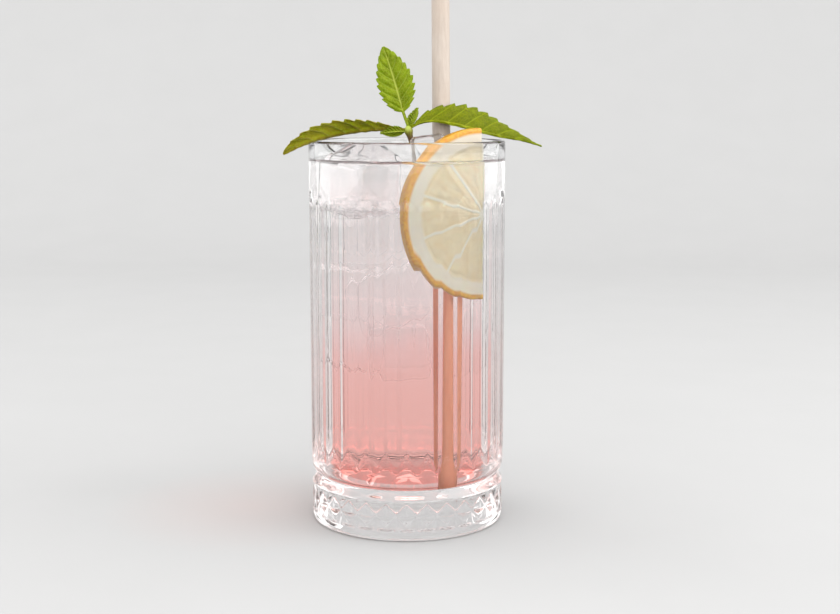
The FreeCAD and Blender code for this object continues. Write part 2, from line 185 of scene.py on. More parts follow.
# ---------------------------------------------------------------- node helpers
class Shader:
    """A short way to write a node tree that ends in one Principled shader."""

    def __init__(self, name, **sockets):
        self.material = bpy.data.materials.new(name)
        self.material.use_nodes = True
        self.tree = self.material.node_tree
        self.main = self.tree.nodes["Principled BSDF"]
        for socket, value in sockets.items():
            self.set(socket.replace("_", " "), value)

    def set(self, socket, value):
        target = self.main.inputs[socket]
        if isinstance(value, bpy.types.NodeSocket):
            self.tree.links.new(value, target)
        else:
            target.default_value = value

    def node(self, kind, inputs=None, **settings):
        made = self.tree.nodes.new(kind)
        for key, value in settings.items():
            setattr(made, key, value)
        for key, value in (inputs or {}).items():
            if isinstance(value, bpy.types.NodeSocket):
                self.tree.links.new(value, made.inputs[key])
            else:
                made.inputs[key].default_value = value
        return made

    def place(self, scale=(1, 1, 1)):
        """Object coordinates in millimetres, stretched by scale."""
        coordinates = self.node("ShaderNodeTexCoord").outputs["Object"]
        factors = tuple(value / MM for value in scale)
        return self.node("ShaderNodeMapping", {"Vector": coordinates, "Scale": factors}).outputs[0]

    def noise(self, vector, scale, detail=3.0, rough=0.5, output="Fac"):
        inputs = {"Vector": vector, "Scale": scale, "Detail": detail, "Roughness": rough}
        made = self.node("ShaderNodeTexNoise", inputs)
        return made.outputs[output]

    def ramp(self, factor, stops, interpolation="LINEAR"):
        made = self.node("ShaderNodeValToRGB", {"Fac": factor})
        made.color_ramp.interpolation = interpolation
        elements = made.color_ramp.elements
        while len(elements) < len(stops):
            elements.new(0.5)
        for element, (position, colour) in zip(elements, stops):
            element.position = position
            element.color = (*colour, 1) if len(colour) == 3 else colour
        return made.outputs["Color"]

    def math(self, operation, first, second=0.0, clamp=False):
        made = self.node("ShaderNodeMath", {0: first, 1: second}, operation=operation, use_clamp=clamp)
        return made.outputs[0]

    def mix(self, factor, first, second, blend="MIX"):
        made = self.node("ShaderNodeMix", data_type="RGBA", blend_type=blend)
        for index, value in ((0, factor), (6, first), (7, second)):
            if isinstance(value, bpy.types.NodeSocket):
                self.tree.links.new(value, made.inputs[index])
            elif index:
                made.inputs[index].default_value = (*value, 1)
            else:
                made.inputs[index].default_value = value
        return made.outputs[2]

    def range(self, value, low, high, to_low=0.0, to_high=1.0):
        made = self.node("ShaderNodeMapRange", {0: value, 1: low, 2: high, 3: to_low, 4: to_high})
        return made.outputs[0]

    def level(self):
        """Height over the table in millimetres."""
        return self.node("ShaderNodeSeparateXYZ", {0: self.place()}).outputs["Z"]

    def bump(self, height, distance, strength=1.0):
        inputs = {"Height": height, "Strength": strength, "Distance": distance * MM}
        made = self.node("ShaderNodeBump", inputs)
        self.set("Normal", made.outputs[0])


def srgb(red, green, blue):
    """Linear colour from 0 to 255 display values."""
    return tuple(
        value / 255 / 12.92 if value <= 10 else ((value / 255 + 0.055) / 1.055) ** 2.4
        for value in (red, green, blue)
    )


def finish_piece(item, material, slot, *replaced):
    item.data.materials.clear()
    item.data.materials.append(material)
    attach(item, "root")
    if replaced:
        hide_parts(*replaced)
    return item


# ---------------------------------------------------------------- glass
PANEL = 360 / PANELS
COLUMN_SHARES = (-1, -0.835, -0.72, -0.6, -0.45, -0.3, -0.15, 0, 0.15, 0.3, 0.45, 0.6, 0.72, 0.835)


def flute_relief(share):
    """Depth of a flute across its width; share runs from -1 to 1 between two ribs' middles."""
    return FLUTE_DEPTH * max(0.0, 1 - (share / (1 - RIB_SHARE)) ** 2)


def body_relief(share, level):
    """Flutes that end in arches above and in a grooved line of small teeth below."""
    teeth = ZIGZAG_HIGH - ZIGZAG_LOW
    zigzag = ZIGZAG_HIGH - teeth * abs(share)
    if level <= ZIGZAG_LOW:
        return 0.0
    if level < zigzag:
        fade = smooth_step((level - BODY_FOOT_LEVEL + 1.5) / 2)
        return FLUTE_DEPTH * (level - ZIGZAG_LOW) / teeth * fade
    arch_start = FLUTE_TOP - math.sqrt(2 * FLUTE_CUTTER * FLUTE_DEPTH)
    drop = max(0.0, level - arch_start) ** 2 / (2 * FLUTE_CUTTER)
    edge = smooth_step((level - zigzag) / ZIGZAG_EASE)
    groove = ZIGZAG_GROOVE * max(0.0, 1 - abs(level - zigzag - 0.35) / 0.8)
    return max(0.0, flute_relief(share) - drop) * edge + groove


def diamond_relief(share, level):
    middle = (DIAMOND_LOW + DIAMOND_HIGH) / 2
    half = (DIAMOND_HIGH - DIAMOND_LOW) / 2
    lattice = abs(share) + abs(level - middle) / half
    beyond = max(0.0, abs(level - middle) - half)
    return DIAMOND_DEPTH * max(0.0, 1 - abs(1 - lattice)) * max(0.0, 1 - beyond / 0.5)


def outer_radius(level):
    if level < BASE_BEVEL:
        return BASE_RADIUS + (FOOT_RADIUS - BASE_RADIUS) * math.sqrt(1 - (1 - level / BASE_BEVEL) ** 2)
    if level < FOOT_HEIGHT:
        return FOOT_RADIUS
    if level < WAIST_LEVEL:
        share = (level - FOOT_HEIGHT) / (WAIST_LEVEL - FOOT_HEIGHT)
        return FOOT_RADIUS + (WAIST_RADIUS - FOOT_RADIUS) * (0.75 * share + 0.25 * smooth_step(share))
    if level < BODY_FOOT_LEVEL:
        share = (BODY_FOOT_LEVEL - level) / (BODY_FOOT_LEVEL - WAIST_LEVEL)
        return WAIST_RADIUS + (BODY_RADIUS - WAIST_RADIUS) * math.sqrt(1 - share * share)
    return BODY_RADIUS


def glass_relief(share, level):
    if level < WAIST_LEVEL:
        return diamond_relief(share, level)
    return body_relief(share, level)


def inner_profile(grow):
    """Radius and level of the bore from the rim side down to the floor, made larger by grow."""
    fillet_top = FLOOR_LEVEL + FLOOR_FILLET
    wall_levels = spread(GLASS_HEIGHT - RIM_ROUND, fillet_top, 40)
    profile = [(bore_radius(level) + grow, level) for level in wall_levels]
    corner = bore_radius(fillet_top) - FLOOR_FILLET
    for angle in spread(0, 90, 12)[1:]:
        turn = math.radians(angle)
        profile.append((
            corner + (FLOOR_FILLET + grow) * math.cos(turn),
            fillet_top - (FLOOR_FILLET + grow) * math.sin(turn),
        ))
    for share in (0.85, 0.65, 0.4, 0.15):
        profile.append((corner * share, FLOOR_LEVEL - grow))
    return profile


def make_glass():
    """Fluted body, zigzag band, waist and diamond-cut foot, in one closed mesh."""
    azimuths = []
    shares = []
    for panel in range(PANELS):
        for share in COLUMN_SHARES:
            azimuths.append(-90 + panel * PANEL + share * PANEL / 2)
            shares.append(share)
    # levels from the foot up, closest where the relief changes quickly
    levels = [0.0, 0.15, 0.5, 1.0, 1.7, 2.5, BASE_BEVEL]
    levels += spread(BASE_BEVEL + 0.4, FOOT_HEIGHT - 0.1, 34)
    levels += spread(FOOT_HEIGHT, WAIST_LEVEL, 8)
    levels += spread(WAIST_LEVEL, BODY_FOOT_LEVEL, 12)[1:]
    levels += spread(BODY_FOOT_LEVEL + 0.3, ZIGZAG_HIGH + 1.2, 26)
    levels += spread(34, 120, 8)
    levels += spread(121, FLUTE_TOP + 0.2, 16)
    levels += [128, 132, 137, 142, GLASS_HEIGHT - RIM_ROUND]
    rows = []
    for share in (0.1, 0.4, 0.7, 0.9):
        rows.append(([BASE_RADIUS * share] * len(azimuths), [0.0] * len(azimuths)))
    for level in levels:
        outside = outer_radius(level)
        rows.append(([outside - glass_relief(share, level) for share in shares], [level] * len(azimuths)))
    middle = (BODY_RADIUS + RIM_BORE) / 2
    half = (BODY_RADIUS - RIM_BORE) / 2
    for angle in spread(0, 180, 10)[1:-1]:
        turn = math.radians(angle)
        radius = middle + half * math.cos(turn)
        level = GLASS_HEIGHT - RIM_ROUND + RIM_ROUND * math.sin(turn)
        rows.append(([radius] * len(azimuths), [level] * len(azimuths)))
    for radius, level in inner_profile(0.0):
        rows.append(([radius] * len(azimuths), [level] * len(azimuths)))
    item = lathe("fluted_glass", azimuths, rows)
    outward_normals(item)
    return finish_piece(item, glass_material(), "glass", "glass")


def glass_material():
    look = Shader("pressed_glass", Transmission_Weight=1.0, IOR=1.5)
    level = look.level()
    look.set("Base Color", look.ramp(look.range(level, 0, BODY_FOOT_LEVEL + 4), [
        (0.0, (0.82, 0.81, 0.81)),
        (0.55, (0.82, 0.81, 0.81)),
        (0.68, (0.90, 0.87, 0.87)),
        (1.0, (0.985, 0.99, 0.99)),
    ]))
    waviness = look.noise(look.place((0.05, 0.05, 0.02)), 1.0, 2.0)
    look.set("Roughness", look.range(waviness, 0.3, 0.7, 0.0, 0.02))
    return look.material


# ---------------------------------------------------------------- drink
def make_drink(ice_in_surface):
    """The lemonade, reaching a little into the wall, with the ice that breaks its surface cut out."""
    azimuths = spread(0, 360, 192)[:-1]
    wall = [(radius, level) for radius, level in inner_profile(WALL_BITE) if level < DRINK_LEVEL + MENISCUS]
    top_radius = bore_radius(DRINK_LEVEL + MENISCUS) + WALL_BITE
    profile = [(top_radius, DRINK_LEVEL + MENISCUS)] + wall
    profile.reverse()
    for inward in (0.12, 0.3, 0.6, 1.0, 1.6, 2.4, 3.6, 6.0, 10.0, 16.0, 24.0, 31.0):
        profile.append((top_radius - inward, DRINK_LEVEL + MENISCUS * math.exp(-inward / MENISCUS_REACH)))
    rows = [([radius] * len(azimuths), [level] * len(azimuths)) for radius, level in profile]
    item = lathe("lemonade_drink", azimuths, rows)
    outward_normals(item)
    cutters = [shrunken(cube) for cube in ice_in_surface]
    for cutter in cutters:
        cut = item.modifiers.new("ice", "BOOLEAN")
        cut.operation = "DIFFERENCE"
        cut.solver = "EXACT"
        cut.object = cutter
    apply_modifiers(item)
    for cutter in cutters:
        bpy.data.objects.remove(cutter)
    return finish_piece(item, drink_material(), "lemonade", "lemonade")


def make_core():
    """Carries most of the pink without refracting, so that the drink's sides stay pale."""
    azimuths = spread(0, 360, 96)[:-1]
    profile = [(CORE_RADIUS * share, CORE_FOOT) for share in (0.2, 0.6, 0.9)]
    profile += [(CORE_RADIUS, level) for level in spread(CORE_FOOT + 0.5, CORE_TOP - 0.5, 30)]
    profile += [(CORE_RADIUS * share, CORE_TOP) for share in (0.9, 0.6, 0.2)]
    rows = [([radius] * len(azimuths), [level] * len(azimuths)) for radius, level in profile]
    item = lathe("lemonade_core", azimuths, rows)
    outward_normals(item)
    return finish_piece(item, core_material(), "lemonade")


def core_material():
    """Tint by height, laid on the core's surface."""
    look = Shader("pink_depth", Transmission_Weight=1.0, IOR=1.0, Roughness=0.0)
    look.set("Base Color", pink_ramp(look, [
        (0.0, (1.0, 0.54, 0.49)),
        (0.19, (1.0, 0.56, 0.515)),
        (0.34, (1.0, 0.60, 0.565)),
        (0.42, (1.0, 0.675, 0.66)),
        (0.49, (1.0, 0.765, 0.755)),
        (0.57, (1.0, 0.84, 0.835)),
        (0.7, (1.0, 0.91, 0.905)),
        (0.9, (1.0, 0.93, 0.925)),
        (1.0, (1.0, 0.985, 0.985)),
    ]))
    return look.material


def pink_ramp(look, stops):
    """A colour that changes with height, its levels uneven as in an unstirred drink."""
    level = look.level()
    drift = look.noise(look.place((0.04, 0.04, 0.025)), 1.0, 2.0)
    shifted = look.math("ADD", level, look.range(drift, 0.3, 0.7, -LEVEL_DRIFT, LEVEL_DRIFT))
    return look.ramp(look.range(shifted, FLOOR_LEVEL, DRINK_LEVEL), stops, "EASE")


def shrunken(item):
    """A copy that is a little smaller all round, so that what it cuts laps into the original."""
    copy = item.copy()
    copy.data = item.data.copy()
    for vertex, original in zip(copy.data.vertices, item.data.vertices):
        vertex.co = original.co - original.normal * (ICE_LAP * MM)
    bpy.context.scene.collection.objects.link(copy)
    return copy


def apply_modifiers(item):
    bpy.context.view_layer.update()
    graph = bpy.context.evaluated_depsgraph_get()
    mesh = bpy.data.meshes.new_from_object(item.evaluated_get(graph))
    item.modifiers.clear()
    item.data = mesh
    return item


def drink_material():
    """Pink settled below, paler in the icy upper part."""
    look = Shader("pink_lemonade", Transmission_Weight=1.0, IOR=1.333, Roughness=0.0)
    look.set("Base Color", pink_ramp(look, [
        (0.0, (1.0, 0.93, 0.92)),
        (0.34, (1.0, 0.93, 0.92)),
        (0.5, (1.0, 0.965, 0.96)),
        (0.8, (1.0, 0.98, 0.98)),
        (1.0, (1.0, 0.985, 0.985)),
    ]))
    return look.material


# ---------------------------------------------------------------- ice
ICE_SIZE = 22.0
ICE_ROUND = 3.0
ICE_TURNS = {"ice_cube_left": (9, -8, 41), "ice_cube_back": (-7, 10, 30)}   # degrees about x, y, z
SHARD_EDGES = (13.0, 20.0, 6.0)
SHARD_ROUND = 1.8
SHARD_TILT = 6
SUNKEN_LEVELS = (113.5, 90.5, 71.0)
SUNKEN_REACH = 17.6
SUNKEN_ROUND = 3.2


def ice_block(name, edges, rounding, seed):
    """A melted block: rounded edges, uneven faces."""
    steps = 14
    points = []
    lookup = {}
    faces = []
    half = [edge / 2 for edge in edges]

    def corner(cell):
        if cell not in lookup:
            raw = Vector([(value / steps * 2 - 1) for value in cell])
            flat = Vector([raw[axis] * half[axis] for axis in range(3)])
            flats = [half[axis] - rounding for axis in range(3)]
            inner = Vector([max(-flats[axis], min(flats[axis], flat[axis])) for axis in range(3)])
            away = flat - inner
            if away.length > 1e-6:
                flat = inner + away.normalized() * rounding
            dent = noise.noise(flat * 0.09 + Vector((seed, seed * 1.7, 0)))
            fine = noise.noise(flat * 0.3 + Vector((0, seed, seed * 2.3)))
            lookup[cell] = len(points)
            points.append(flat * (1 - 0.035 * abs(dent)) - flat.normalized() * 0.25 * (fine + 0.5))
        return lookup[cell]

    for axis in range(3):
        first, second = (axis + 1) % 3, (axis + 2) % 3
        for side in (0, steps):
            for u in range(steps):
                for v in range(steps):
                    quad = []
                    for du, dv in ((0, 0), (1, 0), (1, 1), (0, 1)):
                        cell = [0, 0, 0]
                        cell[axis] = side
                        cell[first] = u + du
                        cell[second] = v + dv
                        quad.append(corner(tuple(cell)))
                    faces.append(tuple(quad if side else reversed(quad)))
    return new_object(name, points, faces)


def turned(about_x, about_y, about_z):
    return (
        Matrix.Rotation(math.radians(about_z), 4, "Z")
        @ Matrix.Rotation(math.radians(about_y), 4, "Y")
        @ Matrix.Rotation(math.radians(about_x), 4, "X")
    )


def settle(item, matrix, centre):
    """Puts a piece's mesh in its place; its object stays at the origin."""
    item.data.transform(Matrix.Translation(centre * MM) @ matrix)
    return item


def box_centre(node):
    low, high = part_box(node)
    return (low + high) / 2 / MM


def make_surface_ice():
    """The three pieces that break the surface, with the CAD node that each one replaces."""
    pieces = []
    for seed, (node, turns) in enumerate(ICE_TURNS.items()):
        item = ice_block(node + "_wet", (ICE_SIZE, ICE_SIZE, ICE_SIZE), ICE_ROUND, seed + 3)
        settle(item, turned(*turns), box_centre(node))
        pieces.append((item, node))
    shard = ice_block("ice_shard_wet", SHARD_EDGES, SHARD_ROUND, 9)
    tilt = Matrix.Rotation(math.radians(SHARD_TILT), 4, "Z")
    settle(shard, lemon_frame().to_4x4() @ tilt, box_centre("ice_shard"))
    pieces.append((shard, "ice_shard"))
    return pieces


def ice_material(name, ior):
    look = Shader(name, Transmission_Weight=1.0, IOR=ior)
    melt = look.noise(look.place((0.25, 0.25, 0.25)), 1.0, 3.0)
    look.set("Roughness", look.range(melt, 0.35, 0.75, 0.0, 0.12))
    look.set("Base Color", look.ramp(melt, [(0.35, (1, 1, 1)), (0.7, (0.955, 0.965, 0.97))]))
    return look.material


def make_sunken_ice():
    """Cubes packed under the surface, in three uneven layers."""
    draw = random.Random(12)
    blocks = []
    for layer, level in enumerate(SUNKEN_LEVELS):
        for slot in range(4):
            azimuth = 45 + 90 * slot + 22 * layer + draw.uniform(-8, 8)
            reach = SUNKEN_REACH + draw.uniform(-1, 0.8)
            centre = on_azimuth(azimuth, reach, level + draw.uniform(-2.5, 2.5))
            beside_lemon = layer < 2 and centre.y < -4 and centre.x > -2
            if beside_lemon:
                continue
            size = draw.uniform(18.5, 21)
            edges = (size, size, size * draw.uniform(0.9, 1.05))
            item = ice_block("sunken", edges, SUNKEN_ROUND, 20 + 4 * layer + slot)
            turn = turned(draw.uniform(-24, 24), draw.uniform(-24, 24), azimuth + draw.uniform(-16, 16))
            blocks.append(settle(item, turn, centre))
    joined = join(blocks, "sunken_ice")
    return finish_piece(joined, ice_material("ice_in_drink", 0.988), "ice")


def join(items, name):
    """One object from several."""
    points = []
    faces = []
    for item in items:
        start = len(points)
        points += [vertex.co / MM for vertex in item.data.vertices]
        faces += [tuple(start + index for index in face.vertices) for face in item.data.polygons]
        bpy.data.objects.remove(item)
    return new_object(name, points, faces)


# ---------------------------------------------------------------- straw
def straw_frame():
    """Where the straw's lower end stands and how the straw leans."""
    lift = STRAW_RADIUS * math.sin(math.radians(STRAW_LEAN)) + SEAT_CLEARANCE
    foot = on_azimuth(STRAW_FOOT_AZIMUTH, STRAW_FOOT_RADIUS, FLOOR_LEVEL + lift)
    sideways = Matrix.Rotation(math.radians(-STRAW_SIDE_LEAN), 4, "Y")
    return foot, sideways @ Matrix.Rotation(math.radians(-STRAW_LEAN), 4, "X")


def make_straw():
    """A rolled paper tube with the edge of its spiral winding standing a little proud."""
    columns = 40
    outer = []
    for level in spread(0.25, STRAW_LENGTH - 0.25, 240):
        ring = []
        for column in range(columns):
            turn = column / columns
            lap = (level / STRAW_WINDING + turn) % 1
            proud = 0.0 if lap > 0.06 else -0.07 * (1 - lap / 0.06)
            uneven = 0.03 * noise.noise(Vector((turn * 4, level * 0.03, 1.5)))
            ring.append(on_azimuth(360 * turn, STRAW_RADIUS - 0.03 + proud + uneven, level))
        outer.append(ring)
    inner_radius = STRAW_RADIUS - STRAW_WALL
    ends = []
    for radius, level in (
        (STRAW_RADIUS - END_ROUND, STRAW_LENGTH), (inner_radius + END_ROUND, STRAW_LENGTH),
        (inner_radius, STRAW_LENGTH - 0.25), (inner_radius, STRAW_LENGTH / 2), (inner_radius, 0.25),
        (inner_radius + END_ROUND, 0.0), (STRAW_RADIUS - END_ROUND, 0.0),
    ):
        ends.append([on_azimuth(360 * column / columns, radius, level) for column in range(columns)])
    rings = outer + ends
    points = [point for ring in rings for point in ring]
    faces = ring_faces(len(rings), columns)
    last = (len(rings) - 1) * columns
    for column in range(columns):
        after = (column + 1) % columns
        faces.append((last + column, last + after, after, column))
    item = new_object("paper_straw", points, faces)
    foot, turn = straw_frame()
    settle(item, turn, foot)
    outward_normals(item)
    return finish_piece(item, straw_material(), "straw_paper", "straw")


def straw_material():
    look = Shader("kraft_paper", Roughness=0.62, Specular_IOR_Level=0.35)
    fibres = look.noise(look.place((0.9, 0.9, 0.12)), 1.0, 5.0, 0.65)
    cloud = look.noise(look.place((0.12, 0.12, 0.05)), 1.0, 3.0)
    tone = look.mix(look.range(fibres, 0.3, 0.7), srgb(163, 152, 142), srgb(177, 166, 156))
    tone = look.mix(look.range(cloud, 0.35, 0.7, 0.0, 0.35), tone, srgb(160, 142, 126))
    level = look.level()
    wet = look.range(level, DRINK_LEVEL + 2, DRINK_LEVEL - 1)
    soaked = look.mix(look.range(fibres, 0.3, 0.7), srgb(246, 152, 112), srgb(252, 166, 126))
    look.set("Base Color", look.mix(wet, tone, soaked))
    look.set("Roughness", look.range(wet, 0, 1, 0.62, 0.35))
    look.bump(fibres, 0.05, 0.5)
    return look.material


# ---------------------------------------------------------------- lemon
LEMON_PARTS = 5
PITH_INSIDE = 25.0
RIND_DEPTH = 2.0
RIND_BOW = 0.7           # how far the rind bows out past the cut faces' edges
EDGE_DROP = 0.25
MAP_WIDTH = 100.0        # millimetres across the lemon's flat map


def lemon_frame():
    """Axes of the half wheel: along the chord, up, and out of the face that shows."""
    across, face = lemon_seat()[1:]
    return Matrix((across, UP, face)).transposed()


def lemon_seat():
    """Where the half wheel's edge rests on the bore, and its chord and face directions."""
    reach = bore_radius(LEMON_LEVEL - LEMON_RADIUS) - SEAT_CLEARANCE
    half_turn = math.degrees(math.asin(LEMON_RADIUS / 2 / reach))
    right = on_azimuth(LEMON_AZIMUTH, reach, LEMON_LEVEL)
    left = on_azimuth(LEMON_AZIMUTH - 2 * half_turn, reach, LEMON_LEVEL)
    across = (right - left).normalized()
    return right, across, across.cross(UP)


def lemon_face_height(radius, angle):
    """Height of the cut face over its plane, in mm: sunk pulp, proud membranes and pith."""
    if radius >= PITH_INSIDE:
        swell = 0.12 * noise.noise(Vector((radius * 0.4, angle * 6, 3)))
        return swell - 0.15
    share = (angle / math.pi * LEMON_PARTS) % 1
    from_membrane = min(share, 1 - share) * math.pi / LEMON_PARTS * radius
    from_pith = PITH_INSIDE - radius
    edge = min(from_membrane, from_pith, max(radius - 2.2, 0))
    bulge = smooth_step(edge / 2.2)
    sac = noise.noise(Vector((radius * 0.22, angle * 5.5, 7.7)))
    sac += 0.5 * noise.noise(Vector((radius * 0.5, angle * 13, 2)))
    return -0.35 * smooth_step(edge / 0.7) + 0.35 * bulge + 0.28 * sac * bulge - 0.1


def make_lemon():
    """Half wheel: two cut faces with segments, a pebbled rind and the straight cut."""
    radial = 56
    turns = 120
    half = LEMON_THICKNESS / 2
    points = []
    faces = []
    face_points = {}
    for side in (1, -1):
        for ring in range(radial + 1):
            radius = (LEMON_RADIUS - RIND_BOW) * ring / radial
            for step in range(turns + 1):
                angle = math.pi * step / turns
                height = half + lemon_face_height(radius, angle) if ring < radial else half - EDGE_DROP
                place = Vector((-radius * math.sin(angle), radius * math.cos(angle), side * height))
                face_points[side, ring, step] = len(points)
                points.append(place)
    for side in (1, -1):
        for ring in range(radial):
            for step in range(turns):
                corners = ((0, 0), (1, 0), (1, 1), (0, 1))
                quad = [face_points[side, ring + a, step + b] for a, b in corners]
                faces.append(tuple(quad if side > 0 else reversed(quad)))
    bands = 12
    rim = []
    for band in range(1, bands):
        across = 1 - 2 * band / bands
        bow = math.sqrt(max(0.0, 1 - abs(across) ** 4))
        ring = []
        for step in range(turns + 1):
            angle = math.pi * step / turns
            pebble = noise.noise(Vector((angle * 26, across * 3.2, 5)))
            radius = LEMON_RADIUS - RIND_BOW + 0.62 * bow + 0.12 * pebble * bow
            ring.append(len(points))
            height = across * (half - EDGE_DROP)
            points.append(Vector((-radius * math.sin(angle), radius * math.cos(angle), height)))
        rim.append(ring)
    first = [face_points[1, radial, step] for step in range(turns + 1)]
    last = [face_points[-1, radial, step] for step in range(turns + 1)]
    loops = [first] + rim + [last]
    for before, after in zip(loops, loops[1:]):
        for step in range(turns):
            faces.append((before[step], after[step], after[step + 1], before[step + 1]))
    for step in (0, turns):
        for ring in range(radial):
            top_a, top_b = face_points[1, ring, step], face_points[1, ring + 1, step]
            low_a, low_b = face_points[-1, ring, step], face_points[-1, ring + 1, step]
            faces.append((top_a, low_a, low_b, top_b))
        faces.append(tuple(loop[step] for loop in loops))
    item = new_object("lemon_half_wheel", points, faces)
    write_lemon_map(item)
    right, across, face = lemon_seat()
    settle(item, lemon_frame().to_4x4(), right - face * half)
    merge_close(item)
    outward_normals(item)
    return finish_piece(item, lemon_material(), "lemon", "lemon_slice")


def merge_close(item):
    work = bmesh.new()
    work.from_mesh(item.data)
    bmesh.ops.remove_doubles(work, verts=work.verts, dist=0.001 * MM)
    work.to_mesh(item.data)
    work.free()


def write_lemon_map(item):
    """A flat map of the wheel that the lemon's material reads."""
    layer = item.data.uv_layers.new(name="wheel")
    for loop in item.data.loops:
        place = item.data.vertices[loop.vertex_index].co / MM
        layer.data[loop.index].uv = (0.5 + place.x / MAP_WIDTH, 0.5 + place.y / MAP_WIDTH)


def lemon_material():
    """Segments, pith and rind by radius and angle; what stands clear of the drink is painted darker, a
    painted shade at about half brightness.
    """
    look = Shader(
        "lemon_flesh", Roughness=0.28, Specular_IOR_Level=0.5, Subsurface_Weight=0.35, Subsurface_Scale=0.003)
    look.set("Subsurface Radius", (1.0, 0.8, 0.45))
    wheel = look.node("ShaderNodeUVMap", uv_map="wheel").outputs[0]
    middle = (-MAP_WIDTH / 2, -MAP_WIDTH / 2, 0)
    in_mm = (MAP_WIDTH, MAP_WIDTH, 1)
    local = look.node("ShaderNodeMapping", {"Vector": wheel, "Location": middle, "Scale": in_mm}).outputs[0]
    axes = look.node("ShaderNodeSeparateXYZ", {0: local})
    radius = look.node("ShaderNodeVectorMath", {0: local}, operation="LENGTH").outputs["Value"]
    angle = look.math("ARCTAN2", look.math("MULTIPLY", axes.outputs[0], -1.0), axes.outputs[1])
    part = look.math("FRACT", look.math("MULTIPLY", angle, LEMON_PARTS / math.pi))
    near = look.math("MINIMUM", part, look.math("SUBTRACT", 1.0, part))
    membrane = look.math("MULTIPLY", look.math("MULTIPLY", near, math.pi / LEMON_PARTS), radius)
    stretched = {0: look.math("MULTIPLY", radius, 0.16), 1: look.math("MULTIPLY", angle, 7.0)}
    sac_place = look.node("ShaderNodeCombineXYZ", stretched).outputs[0]
    sacs = look.node("ShaderNodeTexVoronoi", {"Vector": sac_place, "Scale": 1.0}, feature="F1")
    sac_edges = look.range(sacs.outputs["Distance"], 0.2, 0.75)
    flesh = look.mix(sac_edges, srgb(248, 230, 188), srgb(242, 218, 166))
    flesh = look.mix(look.noise(look.place((0.5, 0.5, 0.5)), 1.0, 4.0), flesh, srgb(250, 238, 204))
    skin = look.range(membrane, 0.75, 0.25)
    flesh = look.mix(skin, flesh, srgb(252, 246, 226))
    core = look.range(radius, 2.6, 1.4)
    flesh = look.mix(core, flesh, srgb(252, 246, 226))
    mottle = look.noise(look.place((0.35, 0.35, 0.35)), 1.0, 4.0)
    pith = look.mix(mottle, srgb(252, 240, 214), srgb(255, 248, 232))
    wavy = look.math("ADD", radius, look.range(mottle, 0.0, 1.0, -0.9, 0.9))
    body = look.mix(look.range(wavy, PITH_INSIDE - 0.4, PITH_INSIDE + 0.5), flesh, pith)
    pores = look.noise(look.place((1.1, 1.1, 1.1)), 1.0, 3.0)
    rind = look.mix(look.range(pores, 0.35, 0.65), srgb(238, 160, 22), srgb(254, 196, 52))
    zest = look.range(radius, LEMON_RADIUS - RIND_DEPTH - 0.5, LEMON_RADIUS - RIND_DEPTH + 0.4)
    position = look.node("ShaderNodeNewGeometry").outputs["Position"]
    level = look.node("ShaderNodeSeparateXYZ", {0: position}).outputs["Z"]
    # painted shade: the lemon is painted at about half its brightness where it stands above the drink
    shade_above_drink = look.range(level, (DRINK_LEVEL - 1) * MM, (DRINK_LEVEL + 4) * MM)
    colour = look.mix(zest, body, rind)
    painted_shade_colour = look.mix(1.0, colour, (0.52, 0.51, 0.51), "MULTIPLY")
    look.set("Base Color", look.mix(shade_above_drink, colour, painted_shade_colour))
    look.bump(look.math("ADD", sac_edges, look.math("MULTIPLY", pores, 0.6)), 0.12, 0.5)
    return look.material


# ---------------------------------------------------------------- mint
NODE_GAPS = (12.3, 8.6, 4.2)   # left of the straw, in front of it, above the rim
STEM_RUN = (4, 1.8)            # right and back, from the node to the stem's end
STEM_DIP = 2
LEAF_ROWS = 110
LEAF_COLUMNS = 24
LEAF_TEETH = 12
TOOTH_DEPTH = 0.16
LEAF_HALF_THICKNESS = 0.2
STALK_RADIUS = 0.55
LEFT_OVERHANG = 9.4     # how far each long leaf reaches past the glass
RIGHT_OVERHANG = 17.1
VEINS = 8
VEIN_SLANT = 0.85       # how far a side vein runs forward, as a share of its half width


def sprig_node():
    """Where the leaves spring, in front of the straw and above the rim."""
    foot, turn = straw_frame()
    level = GLASS_HEIGHT + NODE_GAPS[2]
    direction = turn.to_3x3() @ UP
    axis = foot + direction * ((level - foot.z) / direction.z)
    return Vector((axis.x - NODE_GAPS[0], axis.y - NODE_GAPS[1], level))


def between(values, position):
    """Value at a position from 0 to 1 along a list of values that stand at even steps."""
    steps = len(values) - 1
    step = min(int(position * steps), steps - 1)
    share = position * steps - step
    return values[step] * (1 - share) + values[step + 1] * share


def leaf_half_width(position, stalk, peak, fullness):
    """Half width of a leaf, as a share of its widest, along its length from 0 to 1."""
    along = (position - stalk) / (1 - stalk)
    if along <= 0 or along >= 1:
        return 0.0
    return math.sin(math.pi * along ** peak) ** fullness


